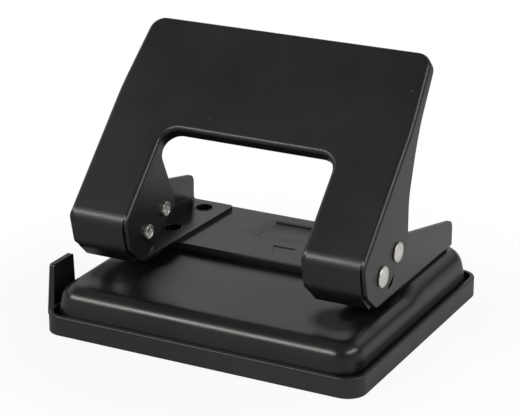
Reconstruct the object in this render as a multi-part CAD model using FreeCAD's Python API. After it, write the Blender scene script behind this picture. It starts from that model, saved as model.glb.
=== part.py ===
"""Two-hole desk paper punch, built as separate pieces.

Frame: millimetres, +Z up, +Y towards the back, +X to the user's right when paper enters from the front (-Y).
The origin is the centre of the chip tray's underside, so the punch stands on the plane Z = 0.
The right-hand leg is modelled first, and the left-hand pieces are its mirror images in the plane X = 0.
"""
import FreeCAD, Part
import os
from math import atan2, cos, hypot, radians, sin, tan

V = FreeCAD.Vector
X_AXIS = V(1, 0, 0)
Y_AXIS = V(0, 1, 0)
Z_AXIS = V(0, 0, 1)

# ---- overall sizes ---------------------------------------------------------------------------------
HOLE_SPACING = 80.0        # between the two punched holes
PUNCH_D = 5.5              # punched hole
TRAY_SIDE_MARGIN = 14.2    # from a punch's axis out to the tray's side
TRAY_DEPTH = 94.4          # Y
TRAY_HEIGHT = 6.4          # rim of the chip tray above the desk
DECK_Z = 14.7              # front deck of the base plate, where the paper lies
PLATFORM_RISE = 2.4        # raised rear platform above the deck: the paper slot's height
STEP_Y = 1.0               # face of the step, the paper's stop
HOLE_MARGIN = 12.9         # punch axis to the paper's edge

# ---- clearances -------------------------------------------------------------------------------------
LOOSE = 0.35               # between pieces that only have to clear each other
SLIDE = 0.3                # sliding pieces, each side
RUNNING = 0.06             # shaft in its hole, radial
LEG_SIDE_GAP = 1.15        # inside a leg, to the bracket's wall
APRON_SIDE_GAP = 0.35      # between a leg's front and its flanges
SPRING_SIDE_GAP = 0.25     # spring round its bush, radial
SPRING_END_GAP = 0.1
DRIVE_GAP = 0.1            # between drive pin and punch head
GUIDE_TAB_GAP = 1.05       # from the tray's side to the paper guide's tab

# ---- chip tray --------------------------------------------------------------------------------------
TRAY_WALL = 1.4
TRAY_FLOOR = 1.4
TRAY_CORNER_R = 6.2
TRAY_RIM_R = 0.5
KEEPER_INSET = 12.2        # moulded bars that hold the paper guide down: from the tray's left side
KEEPER_PITCH = 22.0        # and from one bar to the other
KEEPER_WIDTH = 3.0
KEEPER_THICK = 1.2
KEEPER_POST = 1.6

# ---- base plate -------------------------------------------------------------------------------------
BASE_SHEET = 1.0
BASE_CORNER_R = 8.5        # in plan, at the skirt's bottom
BASE_EDGE_R = 4.9          # drawn edge round the deck
PLATFORM_EDGE_R = 6.2      # and round the platform
SKIRT_TURN = 0.4           # the skirt stands upright to this much under the tray's rim
SKIRT_DRAFT_DEG = 11.5     # and narrows upwards from there
STEP_EDGE_R = 1.2
PANEL_WIDTH = 25.4         # shallow sunk panel on the platform, left blank
PANEL_DEPTH = 14.2
PANEL_SETBACK = 17.0       # from the step to the panel
PANEL_SINK = 0.4
PANEL_CORNER_R = 0.8
MARK_SETBACK = 4.0         # from the step to the tip of the sunk triangle that marks the paper's middle
MARK_LENGTH = 8.6
MARK_WIDTH = 9.0
MARK_SINK = 0.25

# ---- brackets ---------------------------------------------------------------------------------------
BRACKET_SHEET = 1.2
BRACKET_REAR_INSET = 8.45  # from the base plate's back edge
FOOT_FRONT_REACH = 6.9     # foot in front of the punch axis
FOOT_REAR_HALF = 8.7       # inner edge of the foot from the punch axis, at the back
FOOT_FRONT_HALF = 6.6      # and at the front
FOOT_REAR_R = 1.5
FOOT_FRONT_R = 3.0
WALL_BEND_R = 2.0          # outside radius of the bend between foot and wall
WALL_REAR_HEIGHT = 8.5     # wall above the foot at its back end
WALL_SLOPE = 0.218         # rise of the top edge towards the front
WALL_HIGH_REACH = 8.4      # front end of the sloping top edge, behind the pivot
WALL_REAR_R = 3.0
WALL_FRONT_R = 5.6         # round the pivot
RIB_REAR_INSET = 11.0      # stiffening rib, pierced and folded up out of the foot
RIB_LENGTH = 30.0
RIB_REAR_OFFSET = 1.2      # rib's inner face, outside the punch axis, at its back end
RIB_FRONT_OFFSET = 4.0     # and at its front end
RIB_HEIGHT = 4.8
RIB_WINDOW_GAP = 0.6       # between the bracket's wall and the opening that the rib leaves
SLOT_SIDE_GAP = 1.7        # drive pin in its arc slot, each side
SLOT_TOP_MARGIN_DEG = 4.0  # slot beyond the drive pin's travel, at its upper end
SLOT_LOW_MARGIN_DEG = 6.5  # and at its lower end
RIVET_OFFSET = 0.7         # rivets inside the line of the punch axes
RIVET_FRONT_SETBACK = 8.5  # from the step
RIVET_REAR_INSET = 6.3     # from the foot's back edge
RIVET_D = 6.3
RIVET_WALL = 0.4
RIVET_HEAD_RIM = 1.5
RIVET_HEAD_THICK = 0.8

# ---- pins -------------------------------------------------------------------------------------------
PIVOT_REACH = 11.0         # pivot in front of the punch axis
PIVOT_HEIGHT = 11.3        # and above the foot
PIN_D = 4.0
PIVOT_HEAD_RIM = 1.3
DRIVE_HEAD_RIM = 1.15
PIN_HEAD_THICK = 1.0
PIN_HEAD_CHAMFER = 0.3
PIN_TAIL_RIM = 0.35
PIN_TAIL_LENGTH = 1.0
PIN_DISH_DEPTH = 1.4
SLEEVE_WALL = 1.2
DRIVE_ARM = 11.4           # drive pin's distance from the pivot
DRIVE_ANGLE_DEG = 21.0     # its direction at rest, above the +Y axis
HANDLE_TRAVEL_DEG = 38.0

# ---- handle -----------------------------------------------------------------------------------------
HANDLE_SHEET = 1.2
LEG_WIDTH = 20.7
TOP_INSET = 2.0            # top edge narrower than the legs, each side
TAPER_START = 46.5         # along the panel from the knee
TAPER_BEND_R = 100.0
PANEL_LENGTH = 72.85
PANEL_ANGLE_DEG = 45.1
KNEE_REACH = 13.05         # knee in front of the pivot
KNEE_RISE = 6.65           # and above it
KNEE_R = 5.5
WINDOW_TOP = 34.35         # top of the opening, along the panel from the knee
WINDOW_CORNER_R = 5.5
HANDLE_CORNER_R = 5.0
FOLD_R = 1.5               # outside radius of the folds
LIP_DEPTH = 4.6            # folded lip round the window and across the top
TOP_FLANGE = 4.3           # side flange at the panel's top
SHORT_FLANGE = 5.2         # and where its back edge starts to slope
SHORT_FLANGE_AT = 47.5     # along the panel
REAR_CORNER_AT = 19.85     # back lower corner of the flanges, along the panel
REAR_CORNER_DEPTH = 24.8
REAR_CORNER_R = 2.5
MID_FLANGE_AT = 30.8
MID_FLANGE_DEPTH = 14.0
INNER_THROAT_AT = 26.85    # where the inner flange narrows to the window's lip
INNER_THROAT_R = 3.0
APRON_LENGTH = 10.6        # straight front of the leg, below the knee
APRON_LEAN_DEG = 13.0      # from the vertical, bottom to the back
APRON_TIP_LENGTH = 7.4     # turned-in bottom of the leg's front
APRON_TIP_LEAN_DEG = 46.0
APRON_TURN_R = 7.0
FLANGE_SETBACK = 0.7       # front edges of the flanges behind the leg's front face
FLANGE_TIP_LENGTH = 8.2    # their turned-in lower part
FLANGE_TIP_LEAN_DEG = 51.0
FLANGE_TURN_R = 3.0
FLANGE_TIP_FLAT = 1.9      # short lower edge behind it
FLANGE_TIP_R = 0.6
FLANGE_HEEL_R = 0.8

# ---- punches and springs ----------------------------------------------------------------------------
PUNCH_HEAD_THICK = 2.0
PUNCH_TIP_RISE = 0.4       # cutting edge above the foot's underside at rest
PUNCH_NOTCH = 1.6          # depth of the V ground in the tip
PUNCH_EDGE = 0.2           # land left at each side of the V
BUSH_WALL = 0.79
BUSH_HEIGHT = 3.9
WASHER_RIM = 1.2
WASHER_THICK = 0.5
SPRING_WIRE = 0.6
SPRING_TURNS = 4.0

# ---- paper guide ------------------------------------------------------------------------------------
GUIDE_SHEET = 1.4
GUIDE_LENGTH = 97.65       # from the tab's outer face to the strip's inner end
GUIDE_FRONT_INSET = 8.95   # from the tray's front
GUIDE_WIDTH = 13.0
GUIDE_STOP_HEIGHT = 4.0    # turned-up inner end, which stops at a keeper
GUIDE_STOP_WIDTH = 6.0
GUIDE_TAB_HEIGHT = 15.7    # above the strip
GUIDE_TAB_TOP_WIDTH = 11.2
GUIDE_TAB_CORNER_R = 0.8
GUIDE_TAB_ROOT = 2.4       # the tab's thickness at the strip
GUIDE_TAB_TOP_THICK = 1.7  # and at its top
GUIDE_HEEL_R = 0.8         # outside, under the tab
GUIDE_ROOT_R = 0.3         # inside, over the strip

# ---- sizes that follow ------------------------------------------------------------------------------
PUNCH_X = HOLE_SPACING / 2
PUNCH_Y = STEP_Y - HOLE_MARGIN
TRAY_WIDTH = HOLE_SPACING + 2 * TRAY_SIDE_MARGIN
BASE_WIDTH = TRAY_WIDTH - 2 * (TRAY_WALL + LOOSE)
BASE_DEPTH = TRAY_DEPTH - 2 * (TRAY_WALL + LOOSE)
SKIRT_BOTTOM = TRAY_FLOOR + SLIDE
SKIRT_TURN_Z = TRAY_HEIGHT - SKIRT_TURN
PLATFORM_Z = DECK_Z + PLATFORM_RISE
FOOT_TOP = PLATFORM_Z + BRACKET_SHEET
LEG_OUT_X = PUNCH_X + LEG_WIDTH / 2
LEG_IN_X = PUNCH_X - LEG_WIDTH / 2
BRACKET_OUT_X = LEG_OUT_X - HANDLE_SHEET - LEG_SIDE_GAP
BRACKET_IN_X = BRACKET_OUT_X - BRACKET_SHEET
BRACKET_REAR_Y = BASE_DEPTH / 2 - BRACKET_REAR_INSET
BRACKET_FRONT_Y = PUNCH_Y - FOOT_FRONT_REACH
FOOT_REAR_X = PUNCH_X - FOOT_REAR_HALF
FOOT_FRONT_X = PUNCH_X - FOOT_FRONT_HALF
WALL_REAR_Z = FOOT_TOP + WALL_REAR_HEIGHT
RIB_REAR_Y = BRACKET_REAR_Y - RIB_REAR_INSET
RIB_FRONT_Y = RIB_REAR_Y - RIB_LENGTH
RIB_REAR_X = PUNCH_X + RIB_REAR_OFFSET
RIB_FRONT_X = PUNCH_X + RIB_FRONT_OFFSET
RIB_WINDOW_X = BRACKET_IN_X - RIB_WINDOW_GAP
RIVET_X = PUNCH_X - RIVET_OFFSET
RIVET_FRONT_Y = STEP_Y + RIVET_FRONT_SETBACK
RIVET_REAR_Y = BRACKET_REAR_Y - RIVET_REAR_INSET
PIVOT_Y = PUNCH_Y - PIVOT_REACH
PIVOT_Z = FOOT_TOP + PIVOT_HEIGHT
WALL_HIGH_Y = PIVOT_Y + WALL_HIGH_REACH
DRIVE_Y = PIVOT_Y + DRIVE_ARM * cos(radians(DRIVE_ANGLE_DEG))
DRIVE_Z = PIVOT_Z + DRIVE_ARM * sin(radians(DRIVE_ANGLE_DEG))
SLOT_HALF_WIDTH = PIN_D / 2 + SLOT_SIDE_GAP
PIVOT_HEAD_D = PIN_D + 2 * PIVOT_HEAD_RIM
DRIVE_HEAD_D = PIN_D + 2 * DRIVE_HEAD_RIM
PIN_TAIL_D = PIN_D + 2 * PIN_TAIL_RIM
SLEEVE_D = PIN_D + 2 * SLEEVE_WALL
KNEE_Y = PIVOT_Y - KNEE_REACH
KNEE_Z = PIVOT_Z + KNEE_RISE
PUNCH_TOP = DRIVE_Z - PIN_D / 2 - DRIVE_GAP
PUNCH_TIP = PLATFORM_Z + PUNCH_TIP_RISE
BUSH_D = PUNCH_D + 2 * (RUNNING + BUSH_WALL)
WASHER_D = BUSH_D + 2 * WASHER_RIM
SPRING_MEAN_D = BUSH_D + 2 * SPRING_SIDE_GAP + SPRING_WIRE
PUNCH_HEAD_D = SPRING_MEAN_D + SPRING_WIRE
STRIP_Z = TRAY_FLOOR + SLIDE
STRIP_TOP = STRIP_Z + GUIDE_SHEET
GUIDE_FRONT_Y = GUIDE_FRONT_INSET - TRAY_DEPTH / 2
GUIDE_TAB_TOP = STRIP_Z + GUIDE_SHEET + GUIDE_TAB_HEIGHT
TAB_IN_X = -TRAY_WIDTH / 2 - GUIDE_TAB_GAP
TAB_OUT_X = TAB_IN_X - GUIDE_TAB_ROOT
GUIDE_INNER_X = TAB_OUT_X + GUIDE_LENGTH
KEEPER_OUTER_X = KEEPER_INSET - TRAY_WIDTH / 2
KEEPER_INNER_X = KEEPER_OUTER_X + KEEPER_PITCH


# ---- helpers ----------------------------------------------------------------------------------------
def rounded_face(corners, place):
    """Plane face whose corners (u, v, radius) are rounded; place turns (u, v) into a point."""
    edges = []
    starts = []
    ends = []
    count = len(corners)
    for i in range(count):
        u, v, r = corners[i]
        before = corners[i - 1]
        after = corners[(i + 1) % count]
        a = hypot(before[0] - u, before[1] - v)
        b = hypot(after[0] - u, after[1] - v)
        to_before = ((before[0] - u) / a, (before[1] - v) / a)
        to_after = ((after[0] - u) / b, (after[1] - v) / b)
        if r == 0:
            starts.append((u, v))
            ends.append((u, v))
            continue
        cosine = to_before[0] * to_after[0] + to_before[1] * to_after[1]
        half = atan2((1 - cosine) ** 0.5, (1 + cosine) ** 0.5)
        back = r / tan(half)
        start = (u + to_before[0] * back, v + to_before[1] * back)
        end = (u + to_after[0] * back, v + to_after[1] * back)
        bisector = (to_before[0] + to_after[0], to_before[1] + to_after[1])
        length = hypot(*bisector)
        reach = r / sin(half) - r
        middle = (u + bisector[0] / length * reach, v + bisector[1] / length * reach)
        edges.append((i, Part.Arc(place(*start), place(*middle), place(*end)).toShape()))
        starts.append(start)
        ends.append(end)
    for i in range(count):
        line_from = ends[i]
        line_to = starts[(i + 1) % count]
        if hypot(line_to[0] - line_from[0], line_to[1] - line_from[1]) > 1e-6:
            edges.append((i + 0.5, Part.makeLine(place(*line_from), place(*line_to))))
    edges.sort(key=lambda item: item[0])
    return Part.Face(Part.Wire([edge for _, edge in edges]))


def plate_z(corners, low, high):
    """Prism between two heights from a plan outline of (x, y, radius) corners."""
    return rounded_face(corners, lambda x, y: V(x, y, low)).extrude(V(0, 0, high - low))


def plate_x(corners, low, high):
    """Prism between two X values from a side outline of (y, z, radius) corners."""
    return rounded_face(corners, lambda y, z: V(low, y, z)).extrude(V(high - low, 0, 0))


def rectangle(x0, y0, x1, y1, radius=0.0):
    return [(x0, y0, radius), (x1, y0, radius), (x1, y1, radius), (x0, y1, radius)]


def box(x0, y0, z0, x1, y1, z1):
    return Part.makeBox(x1 - x0, y1 - y0, z1 - z0, V(x0, y0, z0))


def rod_x(x0, x1, y, z, diameter):
    return Part.makeCylinder(diameter / 2, abs(x1 - x0), V(min(x0, x1), y, z), X_AXIS)


def rod_z(x, y, z0, z1, diameter):
    return Part.makeCylinder(diameter / 2, z1 - z0, V(x, y, z0), Z_AXIS)


def mirrored(shape):
    return shape.mirror(V(0, 0, 0), X_AXIS)


def edges_where(shape, test):
    """Edges whose every vertex passes test."""
    return [edge for edge in shape.Edges if all(test(vertex.Point) for vertex in edge.Vertexes)]


def near(a, b, tolerance=1e-4):
    return abs(a - b) < tolerance


# ---- chip tray and base plate -----------------------------------------------------------------------
def chip_tray():
    half_x = TRAY_WIDTH / 2
    half_y = TRAY_DEPTH / 2
    shell = plate_z(rectangle(-half_x, -half_y, half_x, half_y, TRAY_CORNER_R), 0, TRAY_HEIGHT)
    rim = edges_where(shell, lambda p: near(p.z, TRAY_HEIGHT))
    shell = shell.makeFillet(TRAY_RIM_R, rim)
    inner_x = half_x - TRAY_WALL
    inner_y = half_y - TRAY_WALL
    inner_r = TRAY_CORNER_R - TRAY_WALL
    hollow = plate_z(rectangle(-inner_x, -inner_y, inner_x, inner_y, inner_r), TRAY_FLOOR, TRAY_HEIGHT + 1)
    slot_front = GUIDE_FRONT_Y - SLIDE
    slot_back = GUIDE_FRONT_Y + GUIDE_WIDTH + SLIDE
    slot_top = STRIP_TOP + SLIDE
    slot = box(-half_x - 1, slot_front, TRAY_FLOOR, -inner_x + 1, slot_back, slot_top)
    tray = shell.cut(hollow).cut(slot)
    for x in (KEEPER_OUTER_X, KEEPER_INNER_X):
        keeper = box(x - KEEPER_WIDTH / 2, slot_front - KEEPER_POST, TRAY_FLOOR,
                     x + KEEPER_WIDTH / 2, slot_back + KEEPER_POST, slot_top + KEEPER_THICK)
        passage = box(x - KEEPER_WIDTH, slot_front, TRAY_FLOOR, x + KEEPER_WIDTH, slot_back, slot_top)
        tray = tray.fuse(keeper.cut(passage))
    return tray.removeSplitter()


def skirt_outline(inset, z):
    """Plan wire of the skirt at one height, smaller all round by inset."""
    shrink = inset + max(z - SKIRT_TURN_Z, 0) * tan(radians(SKIRT_DRAFT_DEG))
    half_x = BASE_WIDTH / 2 - shrink
    half_y = BASE_DEPTH / 2 - shrink
    outline = rectangle(-half_x, -half_y, half_x, half_y, BASE_CORNER_R - shrink)
    return rounded_face(outline, lambda x, y: V(x, y, z)).OuterWire


def drawn_form(inset, top, bottom, edge_r):
    """Solid form with a tapered upper part, smaller all round by inset, with its top edge rolled over."""
    levels = [skirt_outline(inset, z) for z in (bottom, SKIRT_TURN_Z, top)]
    form = Part.makeLoft(levels, True, True)
    return form.makeFillet(edge_r - inset, edges_where(form, lambda p: near(p.z, top)))


def stepped_form(inset, bottom):
    """Front deck and raised rear platform as one solid form."""
    deck = drawn_form(inset, DECK_Z - inset, bottom, BASE_EDGE_R)
    platform = drawn_form(inset, PLATFORM_Z - inset, bottom, PLATFORM_EDGE_R)
    face_y = STEP_Y + inset
    platform = platform.common(box(-BASE_WIDTH, face_y, bottom, BASE_WIDTH, BASE_DEPTH, PLATFORM_Z))
    if inset < STEP_EDGE_R / 2:
        brow = edges_where(platform, lambda p: near(p.y, face_y) and near(p.z, PLATFORM_Z - inset))
        platform = platform.makeFillet(STEP_EDGE_R - inset, brow)
    return deck.fuse(platform)


def base_plate():
    plate = stepped_form(0.0, SKIRT_BOTTOM).cut(stepped_form(BASE_SHEET, SKIRT_BOTTOM - 1))
    tools = []
    for side in (-1, 1):
        tools.append(rod_z(side * PUNCH_X, PUNCH_Y, 0, DECK_Z + 1, PUNCH_D + 2 * RUNNING))
        for y in (RIVET_FRONT_Y, RIVET_REAR_Y):
            tools.append(rod_z(side * RIVET_X, y, 0, PLATFORM_Z + 1, RIVET_D))
    half = PANEL_WIDTH / 2
    panel_front = STEP_Y + PANEL_SETBACK
    panel = rectangle(-half, panel_front, half, panel_front + PANEL_DEPTH, PANEL_CORNER_R)
    tools.append(plate_z(panel, PLATFORM_Z - PANEL_SINK, PLATFORM_Z + 1))
    mark_tip = STEP_Y + MARK_SETBACK
    mark_back = mark_tip + MARK_LENGTH
    mark = [(0, mark_tip, 0), (MARK_WIDTH / 2, mark_back, 0), (-MARK_WIDTH / 2, mark_back, 0)]
    tools.append(plate_z(mark, PLATFORM_Z - MARK_SINK, PLATFORM_Z + 1))
    tools.append(box(-BASE_WIDTH, GUIDE_FRONT_Y - LOOSE, 0, 0,
                     GUIDE_FRONT_Y + GUIDE_WIDTH + LOOSE, STRIP_TOP + LOOSE))
    for tool in tools:
        plate = plate.cut(tool)
    return plate.removeSplitter()


# ---- brackets and what is fixed to them -------------------------------------------------------------
def foot_inner_x(y):
    """Inner edge of the foot, which narrows towards the front."""
    share = (y - BRACKET_FRONT_Y) / (BRACKET_REAR_Y - BRACKET_FRONT_Y)
    return FOOT_FRONT_X + (FOOT_REAR_X - FOOT_FRONT_X) * share


def wall_outline():
    top_front = WALL_REAR_Z + WALL_SLOPE * (BRACKET_REAR_Y - WALL_HIGH_Y)
    return [
        (BRACKET_FRONT_Y, PLATFORM_Z, 0),
        (BRACKET_REAR_Y, PLATFORM_Z, 0),
        (BRACKET_REAR_Y, WALL_REAR_Z, WALL_REAR_R),
        (WALL_HIGH_Y, top_front, WALL_FRONT_R),
        (PIVOT_Y - WALL_FRONT_R, PIVOT_Z + WALL_FRONT_R, WALL_FRONT_R * 0.9),
        (PIVOT_Y - WALL_FRONT_R, PIVOT_Z - WALL_FRONT_R / 2, WALL_FRONT_R),
    ]


def drive_slot():
    """Arc slot about the pivot that the drive pin travels in."""
    top = DRIVE_ANGLE_DEG + SLOT_TOP_MARGIN_DEG
    bottom = DRIVE_ANGLE_DEG - HANDLE_TRAVEL_DEG - SLOT_LOW_MARGIN_DEG
    centre = V(BRACKET_IN_X - 1, PIVOT_Y, PIVOT_Z)
    depth = BRACKET_SHEET + 2
    outer = Part.makeCylinder(DRIVE_ARM + SLOT_HALF_WIDTH, depth, centre, X_AXIS)
    inner = Part.makeCylinder(DRIVE_ARM - SLOT_HALF_WIDTH, depth, centre, X_AXIS)
    reach = 3 * DRIVE_ARM
    wedge = [(PIVOT_Y, PIVOT_Z, 0)]
    for angle in (bottom, (bottom + top) / 2, top):
        wedge.append((PIVOT_Y + reach * cos(radians(angle)), PIVOT_Z + reach * sin(radians(angle)), 0))
    slot = outer.cut(inner).common(plate_x(wedge, centre.x, centre.x + depth))
    for angle in (bottom, top):
        y = PIVOT_Y + DRIVE_ARM * cos(radians(angle))
        z = PIVOT_Z + DRIVE_ARM * sin(radians(angle))
        slot = slot.fuse(rod_x(centre.x, centre.x + depth, y, z, 2 * SLOT_HALF_WIDTH))
    return slot


def stiffening_rib():
    """Rib folded up from the foot, and the opening in the foot that it came out of."""
    thick = BRACKET_SHEET
    rear = (RIB_REAR_X, RIB_REAR_Y)
    front = (RIB_FRONT_X, RIB_FRONT_Y)
    plan = [(rear[0], rear[1], 0), (rear[0] + thick, rear[1], 0),
            (front[0] + thick, front[1], 0), (front[0], front[1], 0)]
    rib = plate_z(plan, PLATFORM_Z, FOOT_TOP + RIB_HEIGHT)
    top_corners = [edge for edge in rib.Edges
                   if near(edge.BoundBox.ZLength, 0) and near(edge.BoundBox.ZMin, FOOT_TOP + RIB_HEIGHT)
                   and edge.Length < 2 * thick]
    rib = rib.makeFillet(thick, top_corners)
    opening = [(rear[0] + thick, rear[1], 0), (RIB_WINDOW_X, rear[1], 0),
               (RIB_WINDOW_X, front[1], 0), (front[0] + thick, front[1], 0)]
    return rib, plate_z(opening, PLATFORM_Z - 1, FOOT_TOP + 1)


def angle_section():
    """Angle of foot and upright wall, bent from one sheet, before its outline is trimmed."""
    t = BRACKET_SHEET
    top = WALL_REAR_Z + WALL_SLOPE * (BRACKET_REAR_Y - WALL_HIGH_Y) + 1
    inner_x = min(FOOT_FRONT_X, FOOT_REAR_X) - 1
    profile = [
        (inner_x, PLATFORM_Z, 0), (BRACKET_OUT_X, PLATFORM_Z, WALL_BEND_R), (BRACKET_OUT_X, top, 0),
        (BRACKET_IN_X, top, 0), (BRACKET_IN_X, FOOT_TOP, WALL_BEND_R - t), (inner_x, FOOT_TOP, 0),
    ]
    front = PIVOT_Y - 2 * WALL_FRONT_R
    section = rounded_face(profile, lambda x, z: V(x, front, z))
    return section.extrude(V(0, BRACKET_REAR_Y + 1 - front, 0))


def bracket():
    wall_from = BRACKET_OUT_X - WALL_BEND_R
    front = PIVOT_Y - 2 * WALL_FRONT_R
    plan = [
        (foot_inner_x(BRACKET_FRONT_Y), BRACKET_FRONT_Y, FOOT_FRONT_R),
        (wall_from, BRACKET_FRONT_Y, 0), (wall_from, front, 0), (BRACKET_OUT_X + 1, front, 0),
        (BRACKET_OUT_X + 1, BRACKET_REAR_Y, 0),
        (foot_inner_x(BRACKET_REAR_Y), BRACKET_REAR_Y, FOOT_REAR_R),
    ]
    body = angle_section().common(plate_z(plan, PLATFORM_Z - 1, 2 * PIVOT_Z))
    body = body.common(plate_x(wall_outline(), 0, BRACKET_OUT_X + 1))
    rib, opening = stiffening_rib()
    body = body.cut(opening).fuse(rib)
    body = body.cut(rod_x(BRACKET_IN_X - 1, BRACKET_OUT_X + 1, PIVOT_Y, PIVOT_Z, PIN_D + 2 * RUNNING))
    body = body.cut(drive_slot())
    body = body.cut(rod_z(PUNCH_X, PUNCH_Y, PLATFORM_Z - 1, FOOT_TOP + 1, BUSH_D))
    for y in (RIVET_FRONT_Y, RIVET_REAR_Y):
        body = body.cut(rod_z(RIVET_X, y, PLATFORM_Z - 1, FOOT_TOP + 1, RIVET_D))
    return body.removeSplitter()


def foot_rivets():
    """Two hollow rivets that hold a bracket's foot on the platform."""
    rivets = []
    underside = PLATFORM_Z - BASE_SHEET
    for y in (RIVET_FRONT_Y, RIVET_REAR_Y):
        tube = rod_z(RIVET_X, y, underside - RIVET_HEAD_THICK, FOOT_TOP, RIVET_D)
        head = rod_z(RIVET_X, y, underside - RIVET_HEAD_THICK, underside, RIVET_D + 2 * RIVET_HEAD_RIM)
        bore = rod_z(RIVET_X, y, underside - RIVET_HEAD_THICK - 1, FOOT_TOP + 1, RIVET_D - 2 * RIVET_WALL)
        rivets.append(tube.fuse(head).cut(bore).removeSplitter())
    return Part.makeCompound(rivets)


def guide_bush():
    bush = rod_z(PUNCH_X, PUNCH_Y, PLATFORM_Z, PLATFORM_Z + BUSH_HEIGHT, BUSH_D)
    return bush.cut(rod_z(PUNCH_X, PUNCH_Y, 0, FOOT_TOP + 2 * BUSH_HEIGHT, PUNCH_D + 2 * RUNNING))


def spring_washer():
    washer = rod_z(PUNCH_X, PUNCH_Y, FOOT_TOP, FOOT_TOP + WASHER_THICK, WASHER_D)
    return washer.cut(rod_z(PUNCH_X, PUNCH_Y, 0, 2 * FOOT_TOP, BUSH_D + 2 * RUNNING))


# ---- punches ----------------------------------------------------------------------------------------
def punch():
    stem = rod_z(PUNCH_X, PUNCH_Y, PUNCH_TIP, PUNCH_TOP, PUNCH_D)
    head = rod_z(PUNCH_X, PUNCH_Y, PUNCH_TOP - PUNCH_HEAD_THICK, PUNCH_TOP, PUNCH_HEAD_D)
    notch_half = PUNCH_D / 2 - PUNCH_EDGE
    notch = plate_x([(PUNCH_Y - notch_half, PUNCH_TIP - 0.01, 0), (PUNCH_Y + notch_half, PUNCH_TIP - 0.01, 0),
                     (PUNCH_Y, PUNCH_TIP + PUNCH_NOTCH, 0)], PUNCH_X - PUNCH_D, PUNCH_X + PUNCH_D)
    return stem.fuse(head).cut(notch).removeSplitter()


def return_spring():
    """Open coil between the washer on the foot and the punch's head."""
    low = FOOT_TOP + WASHER_THICK + SPRING_END_GAP + SPRING_WIRE / 2
    high = PUNCH_TOP - PUNCH_HEAD_THICK - SPRING_END_GAP - SPRING_WIRE / 2
    radius = SPRING_MEAN_D / 2
    helix = Part.makeLongHelix((high - low) / SPRING_TURNS, high - low, radius)
    section = Part.Wire(Part.makeCircle(SPRING_WIRE / 2, V(radius, 0, 0), Y_AXIS))
    coil = Part.Wire(helix.Edges).makePipeShell([section], True, True)
    coil.translate(V(PUNCH_X, PUNCH_Y, low))
    return coil


# ---- pins -------------------------------------------------------------------------------------------
def cross_pin(y, z, head_d):
    """Rivet through a whole leg: flat head outside, dished tail inside."""
    head = rod_x(LEG_OUT_X, LEG_OUT_X + PIN_HEAD_THICK, y, z, head_d)
    face_x = LEG_OUT_X + PIN_HEAD_THICK
    head = head.makeChamfer(PIN_HEAD_CHAMFER, edges_where(head, lambda p: near(p.x, face_x)))
    tail_end = LEG_IN_X - PIN_TAIL_LENGTH
    shank = rod_x(LEG_IN_X, LEG_OUT_X, y, z, PIN_D)
    tail = rod_x(tail_end, LEG_IN_X, y, z, PIN_TAIL_D)
    dish = Part.makeCone(PIN_TAIL_D / 2 - 0.35, PIN_D / 4, PIN_DISH_DEPTH, V(tail_end, y, z), X_AXIS)
    return shank.fuse(head).fuse(tail).cut(dish).removeSplitter()


def pivot_sleeve():
    """Spacer on the pivot pin between the bracket's wall and the leg's inner flange."""
    start = LEG_IN_X + HANDLE_SHEET
    sleeve = rod_x(start, BRACKET_IN_X - SLIDE, PIVOT_Y, PIVOT_Z, SLEEVE_D)
    return sleeve.cut(rod_x(start - 1, BRACKET_OUT_X, PIVOT_Y, PIVOT_Z, PIN_D))


# ---- handle -----------------------------------------------------------------------------------------
# The handle is laid out flat first: x across, s up the panel from the knee, and depth below the panel's
# outer face. on_panel then turns the flat layout to the handle's resting place.
def on_panel(shape):
    shape.rotate(V(0, 0, 0), X_AXIS, PANEL_ANGLE_DEG)
    shape.translate(V(0, KNEE_Y, KNEE_Z))
    return shape


def panel_point(y, z):
    """Place (s, depth) on the panel of a point of the side view."""
    a = radians(PANEL_ANGLE_DEG)
    dy = y - KNEE_Y
    dz = z - KNEE_Z
    return dy * cos(a) + dz * sin(a), dy * sin(a) - dz * cos(a)


def panel_outline(inset, leg_end):
    """Plan of the flat handle, legs and window included, smaller all round by inset."""
    side = LEG_OUT_X - inset
    top_side = LEG_OUT_X - TOP_INSET - inset
    inner = LEG_IN_X + inset
    top = PANEL_LENGTH - inset
    window = WINDOW_TOP + inset
    corner = HANDLE_CORNER_R - inset
    window_r = WINDOW_CORNER_R + inset
    return [
        (side, leg_end, 0), (side, TAPER_START, TAPER_BEND_R), (top_side, top, corner),
        (-top_side, top, corner), (-side, TAPER_START, TAPER_BEND_R), (-side, leg_end, 0),
        (-inner, leg_end, 0), (-inner, window, window_r), (inner, window, window_r), (inner, leg_end, 0),
    ]


def flat_prism(corners, upper, lower):
    return rounded_face(corners, lambda x, s: V(x, s, -lower)).extrude(V(0, 0, lower - upper))


def folded_blank():
    """Panel with walls of one depth folded down along its whole outline."""
    deep = REAR_CORNER_DEPTH + 5
    leg_end = -3 * APRON_LENGTH
    outer = flat_prism(panel_outline(0.0, leg_end), 0.0, deep)
    outer = outer.makeFillet(FOLD_R, fold_edges(outer, 0.0, leg_end))
    inner = flat_prism(panel_outline(HANDLE_SHEET, leg_end - 5), HANDLE_SHEET, deep + 5)
    inner = inner.makeFillet(FOLD_R - HANDLE_SHEET, fold_edges(inner, HANDLE_SHEET, leg_end - 5))
    return outer.cut(inner)


def fold_edges(prism, upper, leg_end):
    """Top edges of a flat prism, apart from the legs' ends."""
    top = edges_where(prism, lambda p: near(p.z, -upper))
    return [edge for edge in top if not all(near(v.Point.y, leg_end) for v in edge.Vertexes)]


def apron_line():
    """Side-view points (y, z) down the leg's front: knee, turn and bottom edge."""
    lean = radians(APRON_LEAN_DEG)
    tip_lean = radians(APRON_TIP_LEAN_DEG)
    turn = (KNEE_Y + APRON_LENGTH * sin(lean), KNEE_Z - APRON_LENGTH * cos(lean))
    tip = (turn[0] + APRON_TIP_LENGTH * sin(tip_lean), turn[1] - APRON_TIP_LENGTH * cos(tip_lean))
    return (KNEE_Y, KNEE_Z), turn, tip


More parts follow.
